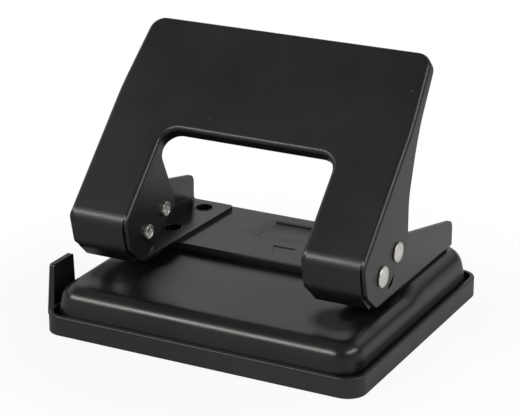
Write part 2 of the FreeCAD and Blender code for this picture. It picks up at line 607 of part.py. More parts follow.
def side_outline(back):
    """Side outline of the flanges in the flat layout (s, height), for a given run of back corners."""
    panel = radians(PANEL_ANGLE_DEG)
    tip_lean = radians(FLANGE_TIP_LEAN_DEG)
    fold_end = FLANGE_SETBACK / cos(panel - radians(APRON_LEAN_DEG))
    turn = offset_corner(*apron_line(), FLANGE_SETBACK)
    tip = (turn[0] + FLANGE_TIP_LENGTH * sin(tip_lean), turn[1] - FLANGE_TIP_LENGTH * cos(tip_lean))
    heel = (tip[0] + FLANGE_TIP_FLAT, tip[1])
    points = [(fold_end, 0, KNEE_R - FLANGE_SETBACK), panel_point(*turn) + (FLANGE_TURN_R,),
              panel_point(*tip) + (FLANGE_TIP_R,), panel_point(*heel) + (FLANGE_HEEL_R,)]
    points += back
    points.append((PANEL_LENGTH + 1, 0, 0))
    return [(s, -depth, r) for s, depth, r in points]


def side_prism(back, x0, x1):
    return rounded_face(side_outline(back), lambda s, h: V(x0, s, h)).extrude(V(x1 - x0, 0, 0))


def outer_back():
    return [
        (REAR_CORNER_AT, REAR_CORNER_DEPTH, REAR_CORNER_R),
        (MID_FLANGE_AT, MID_FLANGE_DEPTH, 25.0),
        (SHORT_FLANGE_AT, SHORT_FLANGE, 30.0),
        (PANEL_LENGTH + 1, TOP_FLANGE, 0),
    ]


def inner_back():
    return [
        (REAR_CORNER_AT, REAR_CORNER_DEPTH - 0.5, REAR_CORNER_R),
        (INNER_THROAT_AT, LIP_DEPTH, INNER_THROAT_R),
        (PANEL_LENGTH + 1, LIP_DEPTH, 0),
    ]


def offset_corner(before, corner, after, distance):
    """Corner of the line that runs at a distance to the left of before-corner-after."""
    a = hypot(corner[0] - before[0], corner[1] - before[1])
    b = hypot(after[0] - corner[0], after[1] - corner[1])
    na = ((before[1] - corner[1]) / a, (corner[0] - before[0]) / a)
    nb = ((corner[1] - after[1]) / b, (after[0] - corner[0]) / b)
    scale = distance / (1 + na[0] * nb[0] + na[1] * nb[1])
    return corner[0] + (na[0] + nb[0]) * scale, corner[1] + (na[1] + nb[1]) * scale


def apron():
    """Front of a leg: the panel folded down at the knee, free of the flanges at its sides."""
    knee, turn, tip = apron_line()
    panel = radians(PANEL_ANGLE_DEG)
    tip_lean = radians(APRON_TIP_LEAN_DEG)
    reach = 2 * KNEE_R
    start = (KNEE_Y + reach * cos(panel), KNEE_Z + reach * sin(panel))
    t = HANDLE_SHEET
    inner_start = (start[0] + t * sin(panel), start[1] - t * cos(panel))
    inner_knee = offset_corner(start, knee, turn, t)
    inner_turn = offset_corner(knee, turn, tip, t)
    inner_tip = (tip[0] + t * cos(tip_lean), tip[1] + t * sin(tip_lean))
    outline = [
        start + (0,), knee + (KNEE_R,), turn + (APRON_TURN_R,), tip + (0,),
        inner_tip + (0,), inner_turn + (APRON_TURN_R - t,), inner_knee + (KNEE_R - t,), inner_start + (0,),
    ]
    x0 = LEG_IN_X + HANDLE_SHEET + APRON_SIDE_GAP
    x1 = LEG_OUT_X - HANDLE_SHEET - APRON_SIDE_GAP
    return plate_x(outline, x0, x1)


def handle():
    blank = folded_blank()
    middle = HOLE_SPACING / 2
    right = blank.common(side_prism(outer_back(), middle, LEG_OUT_X + 1))
    centre = blank.common(side_prism(inner_back(), -middle, middle))
    body = on_panel(centre.fuse([right, mirrored(right)]).removeSplitter())
    front = apron()
    body = body.fuse([front, mirrored(front)]).removeSplitter()
    for y, z in ((PIVOT_Y, PIVOT_Z), (DRIVE_Y, DRIVE_Z)):
        body = body.cut(rod_x(-LEG_OUT_X - 1, LEG_OUT_X + 1, y, z, PIN_D))
    return body.removeSplitter()


# ---- paper guide ------------------------------------------------------------------------------------
def paper_guide():
    """Sliding strip under the base, with its left end turned up as a tab the paper stops at."""
    back_y = GUIDE_FRONT_Y + GUIDE_WIDTH
    out_x = TAB_OUT_X
    profile = [
        (out_x, STRIP_Z, GUIDE_HEEL_R), (GUIDE_INNER_X, STRIP_Z, 0), (GUIDE_INNER_X, STRIP_TOP, 0),
        (TAB_IN_X, STRIP_TOP, GUIDE_ROOT_R), (TAB_IN_X, GUIDE_TAB_TOP, 0),
        (TAB_IN_X - GUIDE_TAB_TOP_THICK, GUIDE_TAB_TOP, 0),
    ]
    body = rounded_face(profile, lambda x, z: V(x, GUIDE_FRONT_Y, z)).extrude(V(0, GUIDE_WIDTH, 0))
    narrowing = (GUIDE_WIDTH - GUIDE_TAB_TOP_WIDTH) / 2
    tab = [
        (GUIDE_FRONT_Y, 0, 0), (back_y, 0, 0), (back_y, STRIP_TOP, 0),
        (back_y - narrowing, GUIDE_TAB_TOP, GUIDE_TAB_CORNER_R),
        (GUIDE_FRONT_Y + narrowing, GUIDE_TAB_TOP, GUIDE_TAB_CORNER_R), (GUIDE_FRONT_Y, STRIP_TOP, 0),
    ]
    body = body.common(plate_x(tab, out_x - 1, GUIDE_INNER_X + 1))
    middle_y = GUIDE_FRONT_Y + GUIDE_WIDTH / 2
    stop = box(GUIDE_INNER_X - GUIDE_SHEET, middle_y - GUIDE_STOP_WIDTH / 2, STRIP_Z,
               GUIDE_INNER_X, middle_y + GUIDE_STOP_WIDTH / 2, STRIP_TOP + GUIDE_STOP_HEIGHT)
    return body.fuse(stop).removeSplitter()


# ---- all pieces -------------------------------------------------------------------------------------
def paired_pieces():
    """Right-hand pieces that have a mirror image at the left, by name."""
    return {
        "bracket": bracket(),
        "foot_rivets": foot_rivets(),
        "guide_bush": guide_bush(),
        "spring_washer": spring_washer(),
        "pivot_pin": cross_pin(PIVOT_Y, PIVOT_Z, PIVOT_HEAD_D),
        "pivot_sleeve": pivot_sleeve(),
        "drive_pin": cross_pin(DRIVE_Y, DRIVE_Z, DRIVE_HEAD_D),
        "punch": punch(),
        "punch_spring": return_spring(),
    }


def all_pieces():
    pieces = {
        "chip_tray": chip_tray(),
        "base_plate": base_plate(),
        "handle": handle(),
        "paper_guide": paper_guide(),
    }
    for name, shape in paired_pieces().items():
        pieces[name + "_right"] = shape
        pieces[name + "_left"] = mirrored(shape)
    return pieces


def main():
    os.makedirs("parts", exist_ok=True)
    for name, shape in all_pieces().items():
        bounds = shape.BoundBox
        print("%-20s valid %s  solids %d  volume %9.1f  x %.2f..%.2f  y %.2f..%.2f  z %.2f..%.2f" % (
            name, shape.isValid(), len(shape.Solids), shape.Volume,
            bounds.XMin, bounds.XMax, bounds.YMin, bounds.YMax, bounds.ZMin, bounds.ZMax))
        shape.exportStep("parts/" + name + ".step")


main()
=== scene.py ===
"""A two-hole desk paper punch: its visible pieces, finishes, camera and light."""
import logging
import math
from dataclasses import dataclass, field
from enum import Enum
from typing import Callable, Iterable

import bpy
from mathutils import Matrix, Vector


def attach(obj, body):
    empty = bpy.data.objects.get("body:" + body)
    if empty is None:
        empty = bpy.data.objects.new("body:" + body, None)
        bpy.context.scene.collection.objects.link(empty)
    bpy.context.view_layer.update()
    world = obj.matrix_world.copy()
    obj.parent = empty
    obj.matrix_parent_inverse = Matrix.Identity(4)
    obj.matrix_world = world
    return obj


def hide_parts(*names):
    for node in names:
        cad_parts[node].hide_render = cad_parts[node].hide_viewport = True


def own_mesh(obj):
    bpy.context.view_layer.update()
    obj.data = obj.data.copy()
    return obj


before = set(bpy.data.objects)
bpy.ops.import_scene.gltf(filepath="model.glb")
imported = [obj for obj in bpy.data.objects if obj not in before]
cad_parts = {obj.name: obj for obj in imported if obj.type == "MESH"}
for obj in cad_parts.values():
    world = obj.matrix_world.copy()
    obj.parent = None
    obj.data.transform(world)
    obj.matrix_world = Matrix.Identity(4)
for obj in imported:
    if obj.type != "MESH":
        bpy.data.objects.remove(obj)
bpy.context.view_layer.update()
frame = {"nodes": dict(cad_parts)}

LOG = logging.getLogger("paper_punch")
MM = 0.001
WELD = 0.0005  # points nearer than this are one, in millimetres

Colour = tuple[float, float, float]
Point = tuple[float, float, float]
Outline = list[tuple[float, float]]
Place = Callable[[Vector], bool]
Socket = bpy.types.NodeSocket
Item = bpy.types.Object


class Body(Enum):
    """The moving bodies that a piece can ride on."""

    BASE = "base"
    HANDLE = "handle"
    TRAY = "chip_tray"


class Slot(Enum):
    """The record's material slots."""

    BASE = "base_paint"
    HANDLE = "handle_paint"
    BRACKET = "bracket_paint"
    TRAY = "tray_plastic"
    GUIDE = "guide_plastic"
    PIN = "pin_zinc"
    PUNCH = "punch_steel"
    SPRING = "spring_steel"


class Side(Enum):
    """Left and right of the punch."""

    LEFT = "left"
    RIGHT = "right"

    @property
    def sign(self) -> float:
        """-1 at the left and +1 at the right."""
        return -1.0 if self is Side.LEFT else 1.0


@dataclass(frozen=True)
class Layout:
    """Places and sizes that several sub-assemblies share, in millimetres."""

    leg_out: float = 50.35
    leg_in: float = 29.65
    punch_x: float = 40.0
    punch_y: float = -11.9
    rivet_x: float = 39.3
    rivet_ys: tuple[float, float] = (9.5, 30.7)
    rivet_radius: float = 3.15


# ---- finishes ----


class NodeBench:
    """Lays out the shader nodes of one material, or of the room."""

    DOT_CORE = 0.6  # share of a dot's radius that is full
    GLOSS = 0.5  # the shader's specular level on clean paint
    DULL_GLOSS = 0.05  # and under dust, and where it is cut as painted shade

    def __init__(self, name: str, room: bool = False) -> None:
        """Starts an empty material, or the room's light.

        Args:
            name: Its name.
            room: Whether it is the room's light.
        """
        self.owner = (bpy.data.worlds if room else bpy.data.materials).new(name)
        self.owner.use_nodes = True
        self.tree = self.owner.node_tree
        self.tree.nodes.clear()
        self.place = self.add("ShaderNodeTexCoord").outputs["Generated" if room else "Object"]

    def add(self, kind: str, inputs: dict[str | int, object] | None = None,
            **settings: object) -> bpy.types.Node:
        """Adds a node.

        Args:
            kind: Blender's name of the node's type.
            inputs: What goes into it, by the input's name or number: an output, or a value.
            **settings: Properties of the node, set by name.

        Returns:
            The new node.
        """
        node = self.tree.nodes.new(kind)
        for name, value in settings.items():
            setattr(node, name, value)
        for name, value in (inputs or {}).items():
            if isinstance(value, Socket):
                self.join(value, node.inputs[name])
            else:
                node.inputs[name].default_value = value
        return node

    def join(self, source: Socket, target: Socket) -> None:
        """Links an output to an input."""
        self.tree.links.new(source, target)

    def reckon(self, work: str, first: Socket, second: Socket | float) -> Socket:
        """Adds a sum, product or comparison of two values.

        Args:
            work: Blender's name of the operation.
            first: The first value.
            second: The second value, or a number.

        Returns:
            The result.
        """
        return self.add("ShaderNodeMath", {0: first, 1: second}, operation=work).outputs["Value"]

    def noise(self, scale: float, detail: float, roughness: float,
              stretch: Point = (1.0, 1.0, 1.0)) -> Socket:
        """Adds a noise field over the piece's own coordinates.

        Args:
            scale: How many features there are to a metre.
            detail: Number of finer layers.
            roughness: How strong the finer layers are.
            stretch: Scale along each axis.

        Returns:
            The noise's value, about 0 to 1.
        """
        spread = self.add("ShaderNodeMapping", {"Scale": stretch, "Vector": self.place}).outputs["Vector"]
        inputs = {"Scale": scale, "Detail": detail, "Roughness": roughness, "Vector": spread}
        return self.add("ShaderNodeTexNoise", inputs).outputs["Fac"]

    def span(self, value: Socket, low: float, high: float, to_low: float, to_high: float,
             smooth: bool = False) -> Socket:
        """Maps one range of a value on another.

        Args:
            value: What is mapped.
            low: The start of the source range.
            high: The end of the source range.
            to_low: The result at low.
            to_high: The result at high.
            smooth: Whether the ends are eased.

        Returns:
            The mapped value.
        """
        inputs = {"Value": value, "From Min": low, "From Max": high, "To Min": to_low, "To Max": to_high}
        way = "SMOOTHSTEP" if smooth else "LINEAR"
        return self.add("ShaderNodeMapRange", inputs, interpolation_type=way).outputs["Result"]

    def near(self, centre: Point, inner: float, outer: float) -> Socket:
        """Marks the surroundings of a point.

        Args:
            centre: The point, in metres.
            inner: Up to this distance the mark is 1.
            outer: From this distance on it is 0.

        Returns:
            The mark.
        """
        node = self.add("ShaderNodeVectorMath", {0: self.place, 1: centre}, operation="DISTANCE")
        return self.span(node.outputs["Value"], inner, outer, 1.0, 0.0, smooth=True)

    def specks(self, scale: float, size: float, share: float) -> Socket:
        """Marks small scattered dots.

        Args:
            scale: How many cells there are to a metre, each with at most one dot.
            size: A dot's radius as a share of its cell.
            share: Share of the cells that have a dot.

        Returns:
            1 on the dots and 0 elsewhere.
        """
        node = self.add("ShaderNodeTexVoronoi", {"Scale": scale, "Vector": self.place}, feature="F1")
        dot = self.span(node.outputs["Distance"], size * self.DOT_CORE, size, 1.0, 0.0)
        split = self.add("ShaderNodeSeparateColor", {"Color": node.outputs["Color"]})
        return self.reckon("MULTIPLY", dot, self.reckon("LESS_THAN", split.outputs["Red"], share))

    def mix(self, factor: Socket, first: Colour | Socket, second: Colour) -> Socket:
        """Mixes two colours by a factor.

        Args:
            factor: 0 for the first colour, 1 for the second.
            first: The first colour, or an earlier mix.
            second: The second colour.

        Returns:
            The mixed colour.
        """
        node = self.add("ShaderNodeMix", {"Factor": factor}, data_type="RGBA")
        sockets = [socket for socket in node.inputs if socket.type == "RGBA"]
        if isinstance(first, tuple):
            sockets[0].default_value = (*first, 1.0)
        else:
            self.join(first, sockets[0])
        sockets[1].default_value = (*second, 1.0)
        return [socket for socket in node.outputs if socket.type == "RGBA"][0]

    def bump(self, height: Socket, strength: float, distance: float, under: Socket | None = None) -> Socket:
        """Adds surface relief.

        Args:
            height: The relief's field.
            strength: Share of the relief that is used.
            distance: The relief's depth in metres.
            under: A relief that this one lies on.

        Returns:
            The bent normal.
        """
        node = self.add("ShaderNodeBump", {"Strength": strength, "Distance": distance, "Height": height})
        if under is not None:
            self.join(under, node.inputs["Normal"])
        return node.outputs["Normal"]

    def axes(self) -> bpy.types.NodeOutputs:
        """Splits the piece's own coordinates into X, Y and Z."""
        return self.add("ShaderNodeSeparateXYZ", {"Vector": self.place}).outputs

    def cut_gloss_for_dust_and_shade(self, marks: list[Socket]) -> None:
        """Lowers the shader's reflection where dust dulls it, and where it is cut as painted shade to darken
        the paint.

        Args:
            marks: 1 where it is dulled and 0 elsewhere.
        """
        if not marks:
            return
        most = marks[0]
        for mark in marks[1:]:
            most = self.reckon("MAXIMUM", most, mark)
        shader = [node for node in self.tree.nodes if node.type == "BSDF_PRINCIPLED"][0]
        self.join(self.span(most, 0.0, 1.0, self.GLOSS, self.DULL_GLOSS), shader.inputs["Specular IOR Level"])

    def close(self, colour: Socket, roughness: Socket, normal: Socket,
              **constants: float) -> bpy.types.Material:
        """Adds the shader and the output.

        Args:
            colour: Base colour.
            roughness: Roughness.
            normal: Bent normal.
            **constants: Numbers for the shader's other inputs.

        Returns:
            The finished material.
        """
        inputs = {"Base Color": colour, "Roughness": roughness, "Normal": normal, **constants}
        shader = self.add("ShaderNodeBsdfPrincipled", inputs)
        self.add("ShaderNodeOutputMaterial", {"Surface": shader.outputs["BSDF"]})
        return self.owner


@dataclass(frozen=True)
class DustAndShadeSpot:
    """A place where paper dust lies and where the paint's gloss is cut as painted shade, by its centre and
    reach in metres.
    """

    centre: Point
    reach: float

    def mark(self, bench: NodeBench) -> Socket:
        """Marks where the gloss is cut: painted shade over the legs' dark reflections on the deck, reaching
        past the dust.
        """
        return bench.near(self.centre, self.reach * 0.6, self.reach * 1.1)

    def zone(self, bench: NodeBench) -> Socket:
        """Marks where the dust itself lies."""
        return bench.near(self.centre, self.reach * 0.35, self.reach)


@dataclass(frozen=True)
class LowWallShade:
    """Painted shade: a band low on the left and right walls where the gloss is cut to darken them, in metres.
    """

    inner: float = 0.0500
    outer: float = 0.0513
    low: float = 0.0086
    high: float = 0.0108

    def mark(self, bench: NodeBench) -> Socket:
        """Marks the walls outside inner, up to the height low and fading out at high."""
        axes = bench.axes()
        off = bench.reckon("ABSOLUTE", axes["X"], 0.0)
        side = bench.span(off, self.inner, self.outer, 0.0, 1.0, smooth=True)
        low = bench.span(axes["Z"], self.low, self.high, 1.0, 0.0, smooth=True)
        return bench.reckon("MULTIPLY", side, low)


@dataclass(frozen=True)
class StepFaceShade:
    """Painted shade along the step's upright face, where its gloss is cut to darken it, in metres."""

    face: float = 0.0010
    reach: float = 0.0006
    low: float = 0.0150
    high: float = 0.0172
    top_share: float = 0.4
    half_width: float = 0.0430
    fade: float = 0.004

    def mark(self, bench: NodeBench) -> Socket:
        """Marks the face between its ends, full at its foot."""
        axes = bench.axes()
        off = bench.reckon("ABSOLUTE", bench.reckon("SUBTRACT", axes["Y"], self.face), 0.0)
        band = bench.span(off, self.reach * 0.5, self.reach, 1.0, 0.0, smooth=True)
        band = bench.reckon("MULTIPLY", band, bench.span(axes["Z"], self.low, self.high, 1.0, self.top_share))
        across = bench.reckon("ABSOLUTE", axes["X"], 0.0)
        ends = bench.span(across, self.half_width - self.fade, self.half_width, 1.0, 0.0)
        return bench.reckon("MULTIPLY", band, ends)


@dataclass(frozen=True)
class SatinPaint:
    """Black paint on sheet steel: faint orange peel, smudges, a little dust, and painted shade where its
    gloss is cut.
    """

    name: str
    dark: Colour = (0.0045, 0.0045, 0.0047)
    light: Colour = (0.0075, 0.0073, 0.0070)
    smooth: float = 0.26
    dull: float = 0.31
    smudge_scale: float = 38.0
    peel_scale: float = 1100.0
    peel: float = 0.000012
    grime_scale: float = 160.0
    dust: float = 0.010
    lint: Colour = (0.17, 0.165, 0.155)
    film: Colour = (0.009, 0.0075, 0.005)
    crumb: Colour = (0.16, 0.135, 0.095)
    # dust spots, and the places where the gloss is cut as painted shade
    spots: tuple[DustAndShadeSpot, ...] = ()
    shade_bands: tuple[LowWallShade | StepFaceShade, ...] = ()

    def material(self) -> bpy.types.Material:
        """Builds the paint.

        Returns:
            The material.
        """
        bench = NodeBench(self.name)
        broad = bench.noise(self.smudge_scale, 3.0, 0.55)
        fine = bench.noise(self.peel_scale, 2.0, 0.5)
        colour = bench.mix(bench.span(broad, 0.35, 0.65, 0.0, 1.0), self.dark, self.light)
        roughness = bench.span(broad, 0.3, 0.7, self.smooth, self.dull)
        grime = bench.noise(self.grime_scale, 4.0, 0.7)
        for spot in self.spots:
            zone = spot.zone(bench)
            film = bench.reckon("MULTIPLY", zone, bench.span(grime, 0.42, 0.75, 0.0, 0.55))
            colour = bench.mix(film, colour, self.film)
            crumbs = bench.reckon("MULTIPLY", zone, bench.specks(620.0, 0.15, 0.16))
            colour = bench.mix(crumbs, colour, self.crumb)
            roughness = bench.reckon("ADD", roughness, bench.reckon("MULTIPLY", film, 0.12))
        colour = bench.mix(bench.specks(520.0, 0.11, self.dust), colour, self.lint)
        material = bench.close(colour, roughness, bench.bump(fine, 0.35, self.peel), IOR=1.5)
        # painted shade: the gloss is cut low on the walls, along the step's face and in front of the legs
        bench.cut_gloss_for_dust_and_shade([place.mark(bench) for place in self.spots + self.shade_bands])
        return material


@dataclass(frozen=True)
class MatteMoulding:
    """Black moulded plastic with a spark-eroded texture and settled dust."""

    name: str
    dark: Colour = (0.0085, 0.0085, 0.0088)
    light: Colour = (0.0125, 0.0125, 0.0128)
    roughness: tuple[float, float] = (0.32, 0.42)
    grain: float = 0.00003
    dust: float = 0.012

    def material(self) -> bpy.types.Material:
        """Builds the plastic.

        Returns:
            The material.
        """
        bench = NodeBench(self.name)
        broad = bench.noise(60.0, 3.0, 0.6)
        grain = bench.noise(2600.0, 2.0, 0.6)
        colour = bench.mix(bench.span(broad, 0.3, 0.7, 0.0, 1.0), self.dark, self.light)
        colour = bench.mix(bench.specks(420.0, 0.12, self.dust), colour, (0.15, 0.14, 0.12))
        roughness = bench.span(broad, 0.3, 0.7, *self.roughness)
        flow = bench.bump(bench.noise(24.0, 2.0, 0.5, (1.0, 1.0, 0.1)), 0.5, 0.00008)
        normal = bench.bump(grain, 0.5, self.grain, flow)
        return bench.close(colour, roughness, normal, IOR=1.5)


@dataclass(frozen=True)
class BrightMetal:
    """Plated or ground steel with fine marks."""

    name: str
    dark: Colour = (0.60, 0.59, 0.57)
    light: Colour = (0.80, 0.79, 0.76)
    roughness: tuple[float, float] = (0.30, 0.45)
    scratch: float = 0.00001

    def material(self) -> bpy.types.Material:
        """Builds the metal.

        Returns:
            The material.
        """
        bench = NodeBench(self.name)
        broad = bench.noise(420.0, 3.0, 0.6)
        lines = bench.noise(700.0, 2.0, 0.5, (1.0, 1.0, 9.0))
        colour = bench.mix(bench.span(broad, 0.3, 0.7, 0.0, 1.0), self.dark, self.light)
        roughness = bench.span(lines, 0.3, 0.7, *self.roughness)
        normal = bench.bump(lines, 0.4, self.scratch)
        return bench.close(colour, roughness, normal, Metallic=1.0)


@dataclass
class FinishShelf:
    """The finishes, by the record's slot."""

    by_slot: dict[str, bpy.types.Material] = field(default_factory=dict)

    def stock(self) -> None:
        """Builds every finish once."""
        # dust by the punch holes; the gloss cut around each is painted shade
        grime = (DustAndShadeSpot((-0.0395, -0.0240, 0.0147), 0.0125), DustAndShadeSpot((0.0390, -0.0260, 0.0147), 0.0115),
                 DustAndShadeSpot((-0.0350, -0.0100, 0.0147), 0.0085))
        ground = ((0.35, 0.35, 0.36), (0.55, 0.55, 0.56))
        wire = ((0.28, 0.28, 0.29), (0.45, 0.45, 0.46))
        for finish in (SatinPaint(Slot.BASE.value, spots=grime, shade_bands=(LowWallShade(), StepFaceShade())),
                       SatinPaint(Slot.HANDLE.value, smooth=0.33, dull=0.39, peel=0.000016, dust=0.004),
                       SatinPaint(Slot.BRACKET.value, smooth=0.24, dull=0.30, dust=0.006),
                       MatteMoulding(Slot.TRAY.value),
                       MatteMoulding(Slot.GUIDE.value, roughness=(0.34, 0.44), grain=0.000012, dust=0.004),
                       BrightMetal(Slot.PIN.value), BrightMetal(Slot.PUNCH.value, *ground),
                       BrightMetal(Slot.SPRING.value, *wire)):
            self.by_slot[finish.name] = finish.material()

    def dress_nodes(self, nodes: dict[str, Item]) -> None:
        """Gives every node of the frame its finish.

        Args:
            nodes: The nodes by name.
        """
        for node in nodes.values():
            for place in node.material_slots:
                name = place.material.name.split(".")[0]
                if name in self.by_slot:
                    place.material = self.by_slot[name]


# ---- shaping ----


def enter(mode: str) -> None:
    """Goes into object or edit mode, by Blender's word for it."""
    if bpy.context.mode != mode:
        bpy.ops.object.mode_set(mode=mode)


class Workpiece:
    """One mesh on the bench, in millimetres while it is shaped."""

    def __init__(self, name: str) -> None:
        """Takes the primitive that was just added and goes into edit mode.

        Args:
            name: The piece's name.
        """
        self.item = bpy.context.object
        self.item.name = self.item.data.name = name
        enter("EDIT")

    @staticmethod
    def clear() -> None:
        """Deselects everything, so that the next tool acts on the new piece alone."""
        enter("OBJECT")
        bpy.ops.object.select_all(action="DESELECT")

    @staticmethod
    def move(offset: Point) -> None:
        """Moves the whole piece while it is shaped."""
        bpy.ops.mesh.select_all(action="SELECT")
        bpy.ops.transform.translate(value=offset)

    def pick(self, place: Place, kind: str = "VERT") -> None:
        """Selects the points or faces whose middle is at a place.

        Args:
            place: Whether a point is in the selection.
            kind: VERT or FACE.
        """
        bpy.ops.mesh.select_mode(type=kind)
        bpy.ops.mesh.select_all(action="DESELECT")
        enter("OBJECT")
        points = kind == "VERT"
        for part in self.item.data.vertices if points else self.item.data.polygons:
            part.select = place(part.co if points else part.center)
        enter("EDIT")

    def slice(self, axis: int, levels: Iterable[float]) -> None:
        """Cuts the faces along planes square to an axis.

        Args:
            axis: 0 for X, 1 for Y and 2 for Z.
            levels: Where the planes stand.
        """
        square = Vector([float(i == axis) for i in range(3)])
        for level in levels:
            bpy.ops.mesh.select_all(action="SELECT")
            bpy.ops.mesh.bisect(plane_co=square * level, plane_no=square)

    def modify(self, kind: str, **settings: object) -> None:
        """Adds a modifier and applies it.

        Args:
            kind: Blender's name of the modifier's type.
            **settings: The modifier's properties, set by name.
        """
        enter("OBJECT")
        bpy.context.view_layer.objects.active = self.item
        modifier = self.item.modifiers.new(kind.lower(), kind)
        for name, value in settings.items():
            setattr(modifier, name, value)
        bpy.ops.object.modifier_apply(modifier=modifier.name)
        enter("EDIT")

    def stand_at(self, x: float, y: float, z: float = 0.0, turn: float = 0.0) -> None:
        """Puts the shaped piece at its place, which finish makes its mesh's own.

        Args:
            x: Across, in millimetres.
            y: Front to back.
            z: Height.
            turn: Turn about Y, in radians.
        """
        self.item.rotation_euler = (0.0, turn, 0.0)
        self.item.location = (x * MM, y * MM, z * MM)

    def finish(self, smooth_deg: float, recount: bool = True) -> Item:
        """Merges doubled points, shades the piece and takes it to metres.

        Args:
            smooth_deg: Edges sharper than this stay sharp.
            recount: Whether the faces are turned outwards.

        Returns:
            The finished object, at the origin.
        """
        bpy.ops.mesh.select_all(action="SELECT")
        bpy.ops.mesh.remove_doubles(threshold=WELD)
        if recount:
            bpy.ops.mesh.normals_make_consistent(inside=False)
        self.clear()
        self.item.select_set(True)
        bpy.context.view_layer.objects.active = self.item
        self.item.scale = (MM, MM, MM)
        bpy.ops.object.transform_apply(location=True, rotation=True, scale=True)
        bpy.ops.object.shade_smooth_by_angle(angle=math.radians(smooth_deg))
        return self.item


def turned(name: str, profile: Outline, segments: int) -> Workpiece:
    """Turns a closed profile about the Z axis.

    Args:
        name: The piece's name.
        profile: Height and radius of each corner, in millimetres; a radius of 0 closes the end.
        segments: Number of facets round the piece.

    Returns:
        The piece in edit mode.
    """
    closed = 0.001  # the radius that stands for 0 until the points are welded
    Workpiece.clear()
    height, radius = profile[0]
    bpy.ops.mesh.primitive_circle_add(vertices=segments, radius=radius or closed)
    piece = Workpiece(name)
    piece.move((0.0, 0.0, height))
    for next_height, next_radius in profile[1:]:
        grow = (next_radius or closed) / (radius or closed)
        bpy.ops.mesh.extrude_edges_move(TRANSFORM_OT_translate={"value": (0.0, 0.0, next_height - height)})
        bpy.ops.transform.resize(value=(grow, grow, 1.0), center_override=(0.0, 0.0, next_height))
        height, radius = next_height, next_radius
    return piece


def joined(items: list[Item]) -> Item:
    """Joins objects into the first of them."""
    Workpiece.clear()
    for item in items:
        item.select_set(True)
    bpy.context.view_layer.objects.active = items[0]
    bpy.ops.object.join()
    return items[0]


def arc(centre: tuple[float, float], radius: float, start: float, end: float, steps: int) -> Outline:
    """Points on an arc.

    Args:
        centre: The arc's middle.
        radius: Its radius.
        start: The first point's angle in degrees.
        end: The last point's angle.
        steps: Number of pieces between them.

    Returns:
        The points, both ends included.
    """
    angles = [math.radians(start + (end - start) * i / steps) for i in range(steps + 1)]
    return [(centre[0] + radius * math.cos(a), centre[1] + radius * math.sin(a)) for a in angles]


def ramp(value: float, low: float, high: float) -> float:
    """Share of the way from low to high that a value has come, from 0 to 1."""
    return min(max((value - low) / (high - low), 0.0), 1.0)


def eased(share: float) -> float:
    """A share from 0 to 1 with soft ends."""
    return share * share * (3 - 2 * share)


@dataclass
class Assembly:
    """What every sub-assembly shares: the finishes and the way a piece is handed over."""

    shelf: FinishShelf
    layout: Layout = Layout()

    def hand_over(self, item: Item, body: Body, slot: Slot, *nodes: str) -> Item:
        """Gives a finished piece its finish, its body and the nodes that it stands for.

        Args:
            item: The piece.
            body: What it moves with.
            slot: Its material slot.
            *nodes: The nodes that it replaces.

        Returns:
            The piece.
        """
        item.data.materials.clear()
        item.data.materials.append(self.shelf.by_slot[slot.value])
        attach(item, body.value)
        if nodes:
            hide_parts(*nodes)
        return item


